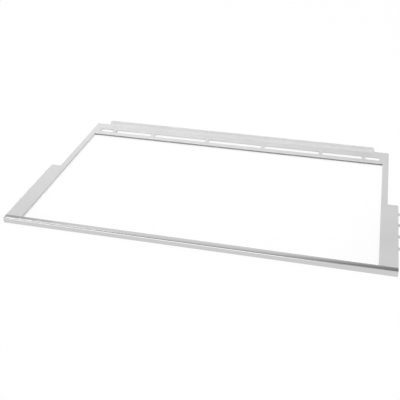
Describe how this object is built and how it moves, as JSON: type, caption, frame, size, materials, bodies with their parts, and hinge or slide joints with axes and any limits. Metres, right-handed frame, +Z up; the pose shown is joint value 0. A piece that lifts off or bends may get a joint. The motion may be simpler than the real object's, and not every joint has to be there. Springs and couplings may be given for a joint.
{
  "type": "refrigerator shelf",
  "caption": "Glass refrigerator shelf: clear pane in a moulded grey frame with front wings, a slotted rear rail with an upstand, and a bright metal front trim.",
  "frame": {"origin": "centre of the footprint on the underside", "axes": "+X to the right along the front edge, +Y to the rear, +Z up"},
  "size_m": [0.5052, 0.31, 0.0153],
  "materials": {
    "frame_plastic": "satin moulded",
    "clear_glass": "polished",
    "bright_metal": "bright"
  },
  "bodies": {
    "root": {"frame": "frame_plastic", "glass_panel": "clear_glass", "front_trim": "bright_metal"}
  },
  "joints": []
}
